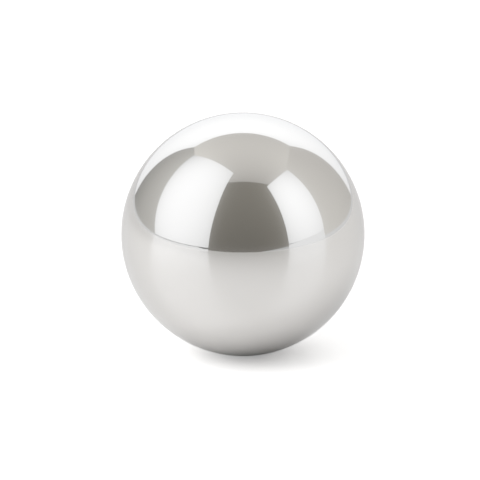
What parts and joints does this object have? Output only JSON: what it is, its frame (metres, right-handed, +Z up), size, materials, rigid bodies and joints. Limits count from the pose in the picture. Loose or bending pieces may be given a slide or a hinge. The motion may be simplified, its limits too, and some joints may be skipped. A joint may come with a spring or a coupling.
{
  "type": "steel ball",
  "caption": "Solid mirror-polished steel ball, a true sphere with no seam, flat or hole, for rolling, bearing, detent, valve or gauging use.",
  "frame": {"origin": "centre of the ball", "axes": "+Z up, with the ball's lowest point on the Z axis at z = -12.7 mm; any axis through the centre is an axis of symmetry"},
  "size_m": [0.0254, 0.0254, 0.0254],
  "materials": {
    "polished_steel": "hardened steel, ground and lapped to a mirror"
  },
  "bodies": {
    "root": {"ball": "polished_steel"}
  },
  "joints": []
}
